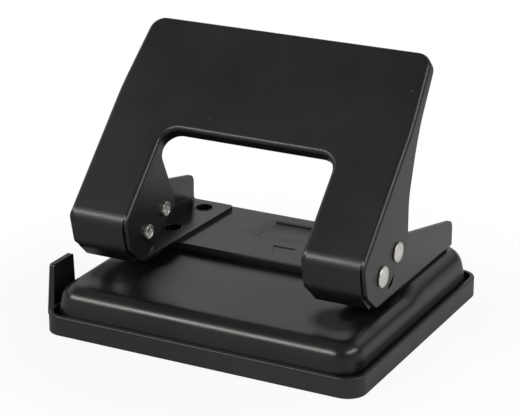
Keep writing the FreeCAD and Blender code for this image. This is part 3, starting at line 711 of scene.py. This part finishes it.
@dataclass
class BasePlate(Assembly):
    """The drawn steel base: deck, step, platform, rolled edges and skirt."""

    half_width: float = 52.45
    half_depth: float = 45.45
    corner: float = 8.5
    bottom: float = 1.7
    turn: float = 6.0  # height where the wall starts to lean inwards
    draft_deg: float = 11.5
    deck: float = 14.7
    platform: float = 17.1
    deck_edge: float = 4.9
    platform_edge: float = 7.0
    edge_steps: int = 9
    sheet: float = 1.0
    step_y: float = 1.0
    riser: float = 0.05  # half the depth of the step's upright face
    foot_fillet: float = 0.15
    brow: float = 0.35
    jog_start: float = 42.0  # the step turns into a long jog out to the sides
    jog_reach: float = 4.2
    jog_front: float = -3.0
    jog_back: float = 7.5
    outside: float = 60.0  # an X past the jog
    flat_ease: float = 7.0  # width of the flat's rim that moves with the edge
    sunk_half_width: float = 12.7
    sunk_front: float = 18.0
    sunk_back: float = 32.2
    sunk: float = 0.5
    sunk_soft: float = 1.0  # width of the panel's sloping rim
    mark_tip: float = 5.0
    mark_back: float = 13.6
    mark_half: float = 4.5
    mark_sunk: float = 0.28
    mark_draft: float = 0.86  # share of the mark's size at its bottom
    mark_heart: float = 0.9  # the Y that it narrows towards, from its middle
    notch_in: float = -46.0  # inner end of the guide's notch in the left wall
    notch_ys: tuple[float, float] = (-38.6, -24.9)
    notch_top: float = 3.45
    notch_reach: float = 6.0  # half the cutting block's length and height
    notch_deep: float = 2.45
    die_radius: float = 2.81
    cuts_by_step: tuple[float, ...] = (
        -3.7, -2.8, -2.0, -1.3, -0.8, -0.55, -0.4, -0.25, -0.12, -0.05, 0.05, 0.1,
        0.18, 0.3, 0.45, 0.6, 0.8, 1.1, 1.6, 2.2, 2.9, 3.7, 4.6, 5.6, 6.7)
    cuts_by_rim: tuple[float, ...] = (-0.5, -0.3, -0.12, 0.12, 0.3, 0.5)
    cuts_across: tuple[float, ...] = (6.0, 22.0, 32.0, 38.2, 41.6, 42.63, 43.5, 44.5, 45.5)
    cuts_along: tuple[float, ...] = (-38.0, -30.0, -20.0, -10.0, 12.0, 25.0, 36.0, 38.0)

    def section(self, top: float, edge: float) -> Outline:
        """The wall's section over the upright part, as insets and heights.

        Args:
            top: Height of the flat.
            edge: Radius of the rolled edge.

        Returns:
            Inset from the plan's outline and height, from the wall's turn to the flat.
        """
        draft = math.radians(self.draft_deg)
        middle = top - edge
        inset = (middle - self.turn) * math.tan(draft) + edge / math.cos(draft)
        rows = [(0.0, self.turn)]
        for i in range(self.edge_steps + 1):
            angle = draft + (math.pi / 2 - draft) * i / self.edge_steps
            rows.append((inset - edge * math.cos(angle), middle + edge * math.sin(angle)))
        return rows

    def rise(self, x: float, y: float) -> float:
        """Share of the platform's rise at a place: upright inside, a long jog over the rolled edges.

        Args:
            x: Across.
            y: Front to back.

        Returns:
            0 on the deck and 1 on the platform.
        """
        side = eased(ramp(abs(x), self.jog_start, self.jog_start + self.jog_reach))
        jog = eased(ramp(y, self.jog_front, self.jog_back))
        return (1.0 - side) * self.step_share(y - self.step_y) + side * jog

    def step_share(self, behind: float) -> float:
        """Share of the rise where the step is upright.

        Args:
            behind: Distance behind the step's face.

        Returns:
            0 in front of its foot fillet, and 1 behind its rounded brow.
        """
        foot, brow, total = self.foot_fillet, self.brow, self.platform - self.deck
        if behind <= -self.riser:
            along = max(behind + foot + self.riser, 0.0)
            return (foot - math.sqrt(max(foot ** 2 - along ** 2, 0.0))) / total
        if behind < self.riser:
            return foot / total + (behind + self.riser) / (2 * self.riser) * (1.0 - (foot + brow) / total)
        along = max(brow - behind + self.riser, 0.0)
        return 1.0 - (brow - math.sqrt(max(brow ** 2 - along ** 2, 0.0))) / total

    def sunk_at(self, x: float, y: float) -> float:
        """How far the shallow blank panel is pressed in.

        Args:
            x: Across.
            y: Front to back.

        Returns:
            The depth at that place.
        """
        past = max(abs(x) - self.sunk_half_width, self.sunk_front - y, y - self.sunk_back)
        return self.sunk * eased(1.0 - ramp(past, -self.sunk_soft / 2, self.sunk_soft / 2))

    def depth_in_plan(self, x: float, y: float) -> tuple[float, float, float]:
        """Distance from the plan's outline, and the way inwards.

        Args:
            x: Across.
            y: Front to back.

        Returns:
            The distance, and the inward direction's X and Y.
        """
        over_x = abs(x) - (self.half_width - self.corner)
        over_y = abs(y) - (self.half_depth - self.corner)
        sign_x, sign_y = math.copysign(1.0, x), math.copysign(1.0, y)
        if over_x > 0 and over_y > 0:
            length = math.hypot(over_x, over_y)
            return self.corner - length, -sign_x * over_x / length, -sign_y * over_y / length
        if over_x > over_y:
            return self.corner - over_x, -sign_x, 0.0
        return self.corner - over_y, 0.0, -sign_y

    def settle(self, point: Vector) -> Vector:
        """Moves a point of the plain deck form to where the stepped form has it.

        Args:
            point: A point over the wall's turn.

        Returns:
            Its new place.
        """
        deck_rows = self.section(self.deck, self.deck_edge)
        platform_rows = self.section(self.platform, self.platform_edge)
        depth, in_x, in_y = self.depth_in_plan(point.x, point.y)
        deck_flat, platform_flat = deck_rows[-1][0], platform_rows[-1][0]
        if point.z < self.deck - WELD:
            row = max(i for i, (_, height) in enumerate(deck_rows) if height <= point.z + WELD)
            row = min(row, len(deck_rows) - 2)
            part = (point.z - deck_rows[row][1]) / (deck_rows[row + 1][1] - deck_rows[row][1])
            pairs = zip(platform_rows[row], platform_rows[row + 1])
            inset, height = (below + (above - below) * part for below, above in pairs)
            share = self.rise(self.outside, point.y)
            move, lift = share * (inset - depth), share * (height - point.z)
            return Vector((point.x + in_x * move, point.y + in_y * move, point.z + lift))
        on_edge = depth <= deck_flat + 0.05
        share = self.rise(self.outside if on_edge else point.x, point.y)
        height = self.deck + share * (self.platform - self.deck) - self.sunk_at(point.x, point.y)
        shift = share * (platform_flat - deck_flat)
        if on_edge:
            return Vector((point.x + in_x * shift, point.y + in_y * shift, height))
        ease_x = 1.0 - ramp(self.half_width - abs(point.x) - deck_flat, 0.0, self.flat_ease)
        ease_y = 1.0 - ramp(self.half_depth - abs(point.y) - deck_flat, 0.0, self.flat_ease)
        return Vector((point.x - math.copysign(shift * ease_x, point.x),
                       point.y - math.copysign(shift * ease_y, point.y), height))

    def blank(self) -> Workpiece:
        """Draws the plain deck form as a block: rounded plan, upright wall, taper and rolled edge.

        Returns:
            The block in edit mode.
        """
        Workpiece.clear()
        bpy.ops.mesh.primitive_plane_add(size=2.0)
        piece = Workpiece("base_shell")
        bpy.ops.mesh.select_all(action="SELECT")
        bpy.ops.transform.resize(value=(self.half_width, self.half_depth, 1.0))
        piece.move((0.0, 0.0, self.bottom))
        bpy.ops.mesh.bevel(offset=self.corner, offset_type="OFFSET", segments=14, affect="VERTICES")
        piece.pick(lambda p: True, "FACE")
        upright = {"value": (0.0, 0.0, self.turn - self.bottom)}
        bpy.ops.mesh.extrude_region_move(TRANSFORM_OT_translate=upright)
        rows = self.section(self.deck, self.deck_edge)
        for (inset, height), (next_inset, next_height) in zip(rows, rows[1:]):
            bpy.ops.mesh.inset(thickness=next_inset - inset, depth=next_height - height, use_even_offset=True)
        return piece

    def cuts(self) -> tuple[list[float], list[float]]:
        """Where the form is cut, so that it can follow the step and the sunk panel.

        Returns:
            The cuts' places across, and front to back.
        """
        across = [side * (self.sunk_half_width + v) for side in (-1, 1) for v in self.cuts_by_rim]
        across += [side * v for side in (-1, 1) for v in self.cuts_across]
        along = [self.step_y + v for v in self.cuts_by_step] + list(self.cuts_along)
        along += [edge + v for edge in (self.sunk_front, self.sunk_back) for v in self.cuts_by_rim]
        return sorted(across), sorted(along)

    def rounds(self) -> list[tuple[float, float, float]]:
        """The round holes, by X, Y and radius."""
        at = self.layout
        rivets = [(side.sign * at.rivet_x, y, at.rivet_radius) for side in Side for y in at.rivet_ys]
        return rivets + [(side.sign * at.punch_x, at.punch_y, self.die_radius) for side in Side]

    def mark_tool(self) -> Item:
        """Makes the tool that sinks the small triangle at the paper's middle.

        Returns:
            The tool.
        """
        Workpiece.clear()
        bpy.ops.mesh.primitive_cube_add(size=2.0)
        tool = Workpiece("mark_tool")
        bpy.ops.mesh.select_all(action="SELECT")
        bpy.ops.transform.resize(value=(self.mark_half, (self.mark_back - self.mark_tip) / 2, 2.0))
        tool.pick(lambda p: p.y < 0)
        bpy.ops.transform.resize(value=(0.02, 1.0, 1.0), center_override=(0.0, 0.0, 0.0))
        tool.pick(lambda p: p.z < 0)
        narrowing = (self.mark_draft, self.mark_draft, 1.0)
        bpy.ops.transform.resize(value=narrowing, center_override=(0.0, self.mark_heart, 0.0))
        tool.pick(lambda p: p.z > 0)
        bpy.ops.transform.translate(value=(0.0, 0.0, 2 * self.mark_sunk - 4.0))
        tool.move((0.0, (self.mark_tip + self.mark_back) / 2, self.platform + 2.0 - self.mark_sunk))
        enter("OBJECT")
        return tool.item

    def is_waste(self, p: Vector) -> bool:
        """Whether a face is the block's underside or a tool's face inside the block.

        Args:
            p: The face's middle.

        Returns:
            True where it goes.
        """
        if p.z < self.bottom + 0.01:
            return True
        front, back = self.notch_ys
        in_band = front - 0.05 < p.y < back + 0.05 and p.z < self.notch_top + 0.05
        in_wall = p.x < 0.01 - self.half_width and p.z > self.notch_top + 0.01
        inside = p.x < self.notch_in + self.notch_reach and self.depth_in_plan(p.x, p.y)[0] > 0.01
        if in_band and inside and not in_wall:
            return True
        flat = self.deck if p.y < 0 else self.platform
        in_hole = any(math.hypot(p.x - x, p.y - y) < radius + 0.01 for x, y, radius in self.rounds())
        return in_hole and p.z < flat - 0.02

    def pierce(self, piece: Workpiece) -> None:
        """Sinks the mark, pierces the holes and the guide's notch, and opens the bottom.

        Args:
            piece: The form as a block.
        """
        tools = [self.mark_tool()]
        front, back = self.notch_ys
        middle = (self.notch_in - self.notch_reach, (front + back) / 2, self.notch_top - self.notch_deep)
        bpy.ops.mesh.primitive_cube_add(size=2.0, location=middle,
                                        scale=(self.notch_reach, (back - front) / 2, self.notch_deep))
        tools.append(bpy.context.object)
        for x, y, radius in self.rounds():
            bpy.ops.mesh.primitive_cylinder_add(vertices=40, radius=radius, depth=8.0,
                                                location=(x, y, self.platform - 1.0),
                                                rotation=(0.0, 0.0, 0.05))
            tools.append(bpy.context.object)
        cutter = joined(tools)
        piece.modify("BOOLEAN", operation="DIFFERENCE", object=cutter, solver="EXACT")
        bpy.data.objects.remove(cutter, do_unlink=True)
        piece.pick(self.is_waste, "FACE")
        bpy.ops.mesh.delete(type="FACE")

    def build(self) -> list[Item]:
        """Draws, steps and pierces the plate."""
        piece = self.blank()
        across, along = self.cuts()
        piece.slice(0, across)
        piece.slice(1, along)
        enter("OBJECT")
        for vertex in piece.item.data.vertices:
            if vertex.co.z > self.turn + 0.01:
                vertex.co = self.settle(vertex.co)
        enter("EDIT")
        self.pierce(piece)
        piece.modify("SOLIDIFY", thickness=self.sheet, offset=-1.0, use_even_offset=True, use_rim=True)
        return [self.hand_over(piece.finish(32.0, recount=False), Body.BASE, Slot.BASE, "base_plate")]


@dataclass
class LegPins(Assembly):
    """The plated rivet pins through the legs: domed heads outside, hollow turned-over tails inside."""

    shank: float = 2.0
    head_thick: float = 1.0
    head_round: float = 0.42
    tail_length: float = 1.0
    tail_rim: float = 0.35
    tail_round: float = 0.3
    dish: float = 1.2
    dish_floor: float = 0.9  # radius of the dish's flat bottom
    pivot: tuple[float, float] = (-22.9, 29.6)
    drive: tuple[float, float] = (-12.257, 33.685)
    pivot_head: float = 3.3
    drive_head: float = 3.15

    def profile(self, head: float) -> Outline:
        """The pin's section from the middle of its head to the middle of its dished tail.

        Args:
            head: Radius of the head.

        Returns:
            Height over the leg's outer face and radius of each corner.
        """
        inner_face = self.layout.leg_in - self.layout.leg_out
        tip = inner_face - self.tail_length
        rim = self.shank + self.tail_rim
        dome = ((1.0, 0.0), (0.985, 0.35), (0.95, 0.62))
        crown = [(self.head_thick * height, head * radius) for height, radius in dome]
        edge = arc((self.head_thick * 0.42, head - self.head_round), self.head_round, 8.0, 90.0, 5)
        under = [(0.12, head - 0.04), (0.0, head - 0.16), (0.0, self.shank), (inner_face, self.shank)]
        lip = arc((tip + self.tail_round, rim - self.tail_round), self.tail_round, 90.0, 250.0, 7)
        bowl = [(tip + 0.25, rim - 0.72), (inner_face - 0.1, rim - 0.95),
                (tip + self.dish, self.dish_floor), (tip + self.dish + 0.1, 0.0)]
        return crown + edge + under + [(inner_face - 0.02, rim)] + lip + bowl

    def build(self) -> list[Item]:
        """Turns both pins of both legs."""
        pieces = []
        pins = (("pivot", self.pivot, self.pivot_head), ("drive", self.drive, self.drive_head))
        for side in Side:
            for word, (y, z), head in pins:
                piece = turned("%s_rivet_%s" % (word, side.value), self.profile(head), 36)
                piece.stand_at(side.sign * self.layout.leg_out, y, z, side.sign * math.pi / 2)
                node = "%s_pin_%s" % (word, side.value)
                pieces.append(self.hand_over(piece.finish(38.0), Body.HANDLE, Slot.PIN, node))
        return pieces


@dataclass
class FootEyelets(Assembly):
    """The hollow rivets that hold the brackets' feet, with rolled mouths."""

    mouth_z: float = 18.3
    mouth_round: float = 0.2
    floor_z: float = 15.3
    bore: float = 2.75
    bore_chamfer: float = 0.25
    flange: float = 4.65
    flange_thick: float = 0.8

    def profile(self) -> Outline:
        """The eyelet's closed section.

        Returns:
            Height and radius of each corner, from its mouth down outside and back up the bore.
        """
        outer = self.layout.rivet_radius
        seat = self.floor_z + self.flange_thick
        mouth = arc((self.mouth_z - 0.02, (self.bore + outer) / 2), self.mouth_round, -90.0, 90.0, 8)
        low = [(seat, outer), (seat, self.flange), (self.floor_z, self.flange),
               (self.floor_z, self.bore + self.bore_chamfer), (self.floor_z + self.bore_chamfer, self.bore)]
        return mouth + low + [mouth[0]]

    def build(self) -> list[Item]:
        """Turns the two eyelets of each foot and joins them."""
        pieces = []
        for side in Side:
            pair = []
            for y in self.layout.rivet_ys:
                piece = turned("foot_eyelets_%s" % side.value, self.profile(), 48)
                piece.stand_at(side.sign * self.layout.rivet_x, y)
                pair.append(piece.finish(40.0))
            node = "foot_rivets_%s" % side.value
            pieces.append(self.hand_over(joined(pair), Body.BASE, Slot.BRACKET, node))
        return pieces


@dataclass
class ReturnSprings(Assembly):
    """The coil springs that lift the punches."""

    low: float = 18.9
    high: float = 29.49
    radius: float = 4.15
    wire: float = 0.3
    turns: float = 4.0
    closed: float = 0.6  # turns that lie flat at each end
    facets_per_turn: int = 32
    swell: float = 0.05  # how far the middle turns bunch, as a share of the height
    pressed: float = 0.283  # height left when the handle is down, as a share

    def wind(self, name: str) -> Workpiece:
        """Winds one spring round the Z axis.

        Args:
            name: The piece's name.

        Returns:
            The spring in edit mode.
        """
        Workpiece.clear()
        bpy.ops.mesh.primitive_circle_add(vertices=10, radius=self.wire, rotation=(math.pi / 2, 0.0, 0.0))
        bpy.ops.object.transform_apply(location=False, rotation=True, scale=False)
        piece = Workpiece(name)
        piece.move((self.radius, 0.0, self.low + self.wire))
        total = self.turns + 2 * self.closed
        facets = int(self.facets_per_turn * total)
        piece.modify("SCREW", angle=2 * math.pi * total, screw_offset=self.high - self.low - 2 * self.wire,
                     steps=facets, render_steps=facets, use_smooth_shade=True)
        bpy.ops.mesh.select_all(action="DESELECT")
        bpy.ops.mesh.select_mode(type="EDGE")
        bpy.ops.mesh.select_non_manifold()
        bpy.ops.mesh.edge_face_add()
        enter("OBJECT")
        self.close_ends(piece.item.data)
        enter("EDIT")
        return piece

    def close_ends(self, mesh: bpy.types.Mesh) -> None:
        """Lays the first and last turns flat.

        Args:
            mesh: The wound wire.
        """
        height = self.high - self.low - 2 * self.wire
        share = self.closed / (self.turns + 2 * self.closed)
        for vertex in mesh.vertices:
            along = ramp(vertex.co.z, self.low + self.wire, self.low + self.wire + height)
            free = ramp(along, share, 1 - share)
            vertex.co.z += (free - self.swell * math.sin(2 * math.pi * free) - along) * height

    def build(self) -> list[Item]:
        """Winds both springs, each with a mesh of its own."""
        pieces = []
        for side in Side:
            x, y = side.sign * self.layout.punch_x, self.layout.punch_y
            piece = self.wind("return_spring_%s" % side.value)
            piece.stand_at(x, y)
            node = "punch_spring_%s" % side.value
            spring = self.hand_over(piece.finish(50.0), Body.BASE, Slot.SPRING, node)
            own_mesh(spring)
            pieces.append(spring)
        return pieces


@dataclass
class TrayDetails(Assembly):
    """What the moulding left on the tray's rim."""

    nub: Point = (53.75, -30.3, 6.35)
    nub_size: Point = (0.7, 1.5, 0.5)
    nub_top: Point = (0.7, 0.6, 1.0)  # shares of the size at its top
    nub_round: float = 0.14

    def build(self) -> list[Item]:
        """Models the small trimmed gate on the rim."""
        Workpiece.clear()
        bpy.ops.mesh.primitive_cube_add(size=1.0)
        piece = Workpiece("rim_gate")
        bpy.ops.mesh.select_all(action="SELECT")
        bpy.ops.transform.resize(value=self.nub_size)
        piece.pick(lambda p: p.z > 0)
        bpy.ops.transform.resize(value=self.nub_top, center_override=(0.0, 0.0, 0.0))
        bpy.ops.mesh.select_all(action="SELECT")
        bpy.ops.mesh.bevel(offset=self.nub_round, segments=3, affect="EDGES")
        piece.move(self.nub)
        return [self.hand_over(piece.finish(60.0), Body.TRAY, Slot.TRAY)]


# ---- studio ----


@dataclass(frozen=True)
class Softbox:
    """A rectangular soft light, by where it stands round the punch."""

    name: str
    azimuth: float
    elevation: float
    radiance: float
    size: tuple[float, float] = (0.95, 0.42)
    distance: float = 1.1
    tint: Colour = (1.0, 1.0, 1.0)
    mirrored: bool = True


@dataclass
class Studio:
    """Camera, floor and light."""

    target: Point = (-1.416, -1.31, 35.145)
    distance: float = 635.84
    azimuth: float = 27.544
    elevation: float = 20.407
    lens: float = 140.58
    clip: tuple[float, float] = (0.01, 50.0)
    floor_size: float = 6.0
    shadow: tuple[float, float] = (0.06, 0.125)  # the shadow shows up to here and ends there
    shadow_white: float = 0.90  # share of plain white over it
    painted_light_centre: Point = (0.09, 0.11, 0.0)  # centre of a painted pool of light: the floor's colour is paler there
    painted_light: tuple[float, float] = (0.10, 0.24)
    greys: tuple[float, float] = (0.45, 0.97)
    lights: tuple[Softbox, ...] = (
        Softbox("key", -30.0, 29.0, 13.5, (0.95, 0.20), tint=(1.0, 0.97, 0.93)),
        Softbox("right", 85.0, 35.0, 7.5, (0.95, 0.24), tint=(1.0, 0.98, 0.95)),
        Softbox("rear", 165.0, 30.0, 0.7),
        Softbox("rear_left", 207.0, 22.0, 0.62, (1.3, 0.34), tint=(1.0, 0.97, 0.93)),
        Softbox("left", -100.0, 30.0, 0.9),
        Softbox("top", 10.0, 85.0, 0.3, (1.2, 1.2), 1.3, mirrored=False),
    )
    # height of the direction looked in, and the room's brightness there
    sky: tuple[tuple[float, float], ...] = ((0.06, 1.0), (0.13, 0.16), (0.50, 0.16), (0.66, 0.27))

    def sight(self, azimuth: float, elevation: float) -> Vector:
        """The direction from the target to a place at that azimuth and elevation, in degrees."""
        a, e = math.radians(azimuth), math.radians(elevation)
        return Vector((math.sin(a) * math.cos(e), -math.cos(a) * math.cos(e), math.sin(e)))

    def put(self, data: bpy.types.ID, place: Vector, at: Vector) -> Item:
        """Puts a camera or a light at a place, looking at a point.

        Args:
            data: The camera or the light.
            place: Where it stands, in metres.
            at: The point that it looks at.

        Returns:
            Its object.
        """
        item = bpy.data.objects.new(data.name, data)
        bpy.context.scene.collection.objects.link(item)
        item.location = place
        item.rotation_euler = (at - place).to_track_quat("-Z", "Y").to_euler()
        return item

    def camera(self) -> None:
        """Adds the camera."""
        data = bpy.data.cameras.new("camera")
        data.lens = self.lens
        data.sensor_width = 36.0
        data.clip_start, data.clip_end = self.clip
        at = Vector(self.target) * MM
        place = at + self.sight(self.azimuth, self.elevation) * self.distance * MM
        bpy.context.scene.camera = self.put(data, place, at)

    def hang(self, box: Softbox) -> None:
        """Adds one soft light.

        Args:
            box: The light's place, size and brightness.
        """
        data = bpy.data.lights.new(box.name, "AREA")
        data.shape = "RECTANGLE"
        data.size, data.size_y = box.size
        data.energy = box.radiance * math.pi * box.size[0] * box.size[1]
        data.color = box.tint
        at = Vector((0.0, 0.0, 0.03))
        item = self.put(data, at + self.sight(box.azimuth, box.elevation) * box.distance, at)
        item.visible_glossy = box.mirrored
        item.visible_camera = False

    def floor(self) -> None:
        """Adds a pale floor that is white to the camera and keeps a soft shadow by the punch; its colour is
        paler behind the punch and greyer further off, a painted pool of light.
        """
        Workpiece.clear()
        bpy.ops.mesh.primitive_plane_add(size=self.floor_size)
        item = bpy.context.object
        item.name = "floor"
        bench = NodeBench("floor_white")
        # painted light: a paler pool of floor colour behind the punch, fading to grey further off
        painted_light = bench.near(self.painted_light_centre, *self.painted_light)
        dim, pale = ((grey, grey, grey) for grey in self.greys)
        matte = bench.add("ShaderNodeBsdfDiffuse", {"Color": bench.mix(painted_light, dim, pale)})
        white = bench.add("ShaderNodeEmission")
        rays = bench.add("ShaderNodeLightPath").outputs
        near = bench.near((0.0, 0.0, 0.0), *self.shadow)
        cover = bench.span(near, 0.0, 1.0, 1.0, self.shadow_white)
        share = bench.reckon("MULTIPLY", cover, rays["Is Camera Ray"])
        inputs = {"Fac": share, 1: matte.outputs["BSDF"], 2: white.outputs["Emission"]}
        mixed = bench.add("ShaderNodeMixShader", inputs)
        bench.add("ShaderNodeOutputMaterial", {"Surface": mixed.outputs["Shader"]})
        item.data.materials.append(bench.owner)

    def surround(self) -> None:
        """Lights the room: bright at the horizon, dimmer above, and white where the camera looks."""
        bench = NodeBench("room", room=True)
        grades = bench.add("ShaderNodeValToRGB", {"Fac": bench.axes()["Z"]})
        stops = grades.color_ramp.elements
        while len(stops) < len(self.sky):
            stops.new(0.5)
        for stop, (height, strength) in zip(stops, self.sky):
            stop.position = height
            stop.color = (strength, strength, strength, 1.0)
        rays = bench.add("ShaderNodeLightPath").outputs
        seen = bench.reckon("MAXIMUM", rays["Is Camera Ray"], grades.outputs["Color"])
        shade = bench.add("ShaderNodeBackground", {"Strength": seen})
        bench.add("ShaderNodeOutputWorld", {"Surface": shade.outputs["Background"]})
        bpy.context.scene.world = bench.owner

    def build(self) -> None:
        """Sets the whole studio up."""
        self.camera()
        self.floor()
        self.surround()
        for box in self.lights:
            self.hang(box)
        bpy.context.scene.view_settings.view_transform = "Standard"


def main() -> None:
    """Builds the studio and every piece in order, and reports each."""
    logging.basicConfig(level=logging.INFO, format="%(message)s")
    Studio().build()
    shelf = FinishShelf()
    shelf.stock()
    shelf.dress_nodes(frame["nodes"])
    for assembly in (BasePlate, LegPins, FootEyelets, ReturnSprings, TrayDetails):
        for piece in assembly(shelf).build():
            LOG.info("%s: %s, %d faces", assembly.__name__, piece.name, len(piece.data.polygons))


if __name__ == "__main__":
    main()
